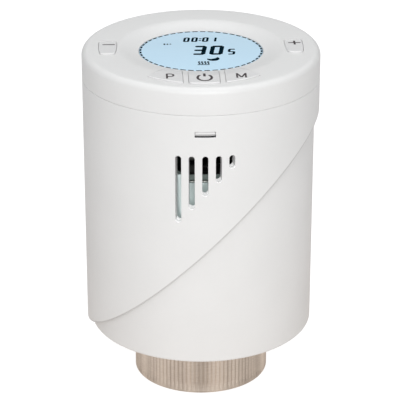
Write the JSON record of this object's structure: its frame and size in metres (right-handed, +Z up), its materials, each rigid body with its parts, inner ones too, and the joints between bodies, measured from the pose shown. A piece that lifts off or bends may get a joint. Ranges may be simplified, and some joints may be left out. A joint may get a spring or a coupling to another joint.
{
  "type": "motorised actuator head",
  "caption": "Round battery-driven actuator head for a radiator valve, with a display and keys on top, a slanted lift-off sleeve, a geared plunger and a knurled union nut.",
  "frame": {"origin": "centre of the union nut's lower face, on the head's axis", "axes": "+Z up along the axis from the valve to the display, -Y towards the front with the air slots, +X towards the high side of the slanted sleeve edge"},
  "size_m": [0.06, 0.06, 0.0899],
  "materials": {
    "white_shell": "fine satin moulded ABS, off-white",
    "white_key": "satin moulded ABS with printed legends",
    "nickel_nut": "satin nickel over brass, straight knurl",
    "natural_nylon": "translucent natural nylon",
    "black_plastic": "black moulded plastic",
    "steel": "zinc-plated steel",
    "motor_shell": "bright plated drawn can",
    "lcd": "pale blue display glass with dark segments",
    "clear_acrylic": "milky acrylic",
    "circuit_board": "green solder mask",
    "cell_jacket": "printed plastic sleeve over a steel can"
  },
  "bodies": {
    "core": {"inner_housing": "white_shell", "power_board": "circuit_board", "battery_tray": "black_plastic", "battery_1": "cell_jacket", "battery_2": "cell_jacket", "battery_spring_1": "steel", "battery_spring_2": "steel", "battery_contact_bottom": "steel", "battery_contact_top": "steel", "valve_collar": "natural_nylon", "collar_screw_1": "steel", "collar_screw_2": "steel", "collar_screw_3": "steel", "plunger_guide": "natural_nylon", "thrust_washer": "steel", "gear_axle_1": "steel", "gear_axle_2": "steel", "bearing_plate": "natural_nylon", "gearbox_plate": "natural_nylon", "plate_screw_1": "steel", "plate_screw_2": "steel", "plate_screw_3": "steel", "motor_can": "motor_shell", "motor_end_cap": "black_plastic", "motor_bracket": "steel", "motor_terminal_1": "steel", "motor_terminal_2": "steel"},
    "cover": {"outer_sleeve": "white_shell", "top_cap": "white_shell", "lcd_panel": "lcd", "display_frame": "white_shell", "light_guide": "clear_acrylic", "reflector_plate": "white_shell", "main_board": "circuit_board", "board_screw_1": "steel", "board_screw_2": "steel", "board_screw_3": "steel", "key_switch_1": "black_plastic", "key_switch_2": "black_plastic", "key_switch_3": "black_plastic", "key_switch_4": "black_plastic", "key_switch_5": "black_plastic", "control_chip": "black_plastic", "radio_module": "steel", "room_sensor": "black_plastic", "edge_socket": "black_plastic"},
    "minus_key": {"minus_button": "white_key"},
    "plus_key": {"plus_button": "white_key"},
    "program_key": {"program_button": "white_key"},
    "power_key": {"power_button": "white_key"},
    "mode_key": {"mode_button": "white_key"},
    "nut": {"union_nut": "nickel_nut"},
    "plunger": {"plunger_screw": "natural_nylon", "plunger_tip": "steel"},
    "drive": {"drive_wheel": "natural_nylon"},
    "gear_2": {"reduction_gear_2": "natural_nylon"},
    "gear_1": {"reduction_gear_1": "natural_nylon"},
    "rotor": {"motor_shaft": "steel", "motor_pinion": "natural_nylon"}
  },
  "joints": [
    {"name": "cover_lift", "type": "slide", "parent": "core", "child": "cover", "axis": [0, 0, 1], "range_m": [0, 0.066]},
    {"name": "minus_press", "type": "slide", "parent": "cover", "child": "minus_key", "axis": [0, 0, -1], "range_m": [0, 0.0006], "stiffness_N_per_m": 800, "springref_m": -0.0003},
    {"name": "plus_press", "type": "slide", "parent": "cover", "child": "plus_key", "axis": [0, 0, -1], "range_m": [0, 0.0006], "stiffness_N_per_m": 800, "springref_m": -0.0003},
    {"name": "program_press", "type": "slide", "parent": "cover", "child": "program_key", "axis": [0, 0, -1], "range_m": [0, 0.0006], "stiffness_N_per_m": 800, "springref_m": -0.0003},
    {"name": "power_press", "type": "slide", "parent": "cover", "child": "power_key", "axis": [0, 0, -1], "range_m": [0, 0.0006], "stiffness_N_per_m": 800, "springref_m": -0.0003},
    {"name": "mode_press", "type": "slide", "parent": "cover", "child": "mode_key", "axis": [0, 0, -1], "range_m": [0, 0.0006], "stiffness_N_per_m": 800, "springref_m": -0.0003},
    {"name": "nut_spin", "type": "hinge", "parent": "core", "child": "nut", "pos_m": [0, 0, 0.007], "axis": [0, 0, 1], "continuous": true},
    {"name": "drive_wheel_spin", "type": "hinge", "parent": "core", "child": "drive", "pos_m": [0, 0, 0.02], "axis": [0, 0, 1], "range_deg": [0, 990]},
    {"name": "plunger_travel", "type": "slide", "parent": "core", "child": "plunger", "axis": [0, 0, -1], "range_m": [0, 0.0044]},
    {"name": "gear_2_spin", "type": "hinge", "parent": "core", "child": "gear_2", "pos_m": [0.00942, 0.00126, 0.03], "axis": [0, 0, 1], "range_deg": [-2772.5, 0]},
    {"name": "gear_1_spin", "type": "hinge", "parent": "core", "child": "gear_1", "pos_m": [0.01146, -0.01005, 0.03], "axis": [0, 0, 1], "range_deg": [0, 9980]},
    {"name": "rotor_spin", "type": "hinge", "parent": "core", "child": "rotor", "pos_m": [0.0015, -0.0158, 0.035], "axis": [0, 0, 1], "range_deg": [-35926, 0]}
  ],
  "couplings": [
    {"joint": "plunger_travel", "follows": "drive_wheel_spin", "m_per_rad": 0.0002546},
    {"joint": "gear_2_spin", "follows": "drive_wheel_spin", "ratio": -2.8},
    {"joint": "gear_1_spin", "follows": "drive_wheel_spin", "ratio": 10.08},
    {"joint": "rotor_spin", "follows": "drive_wheel_spin", "ratio": -36.288}
  ]
}
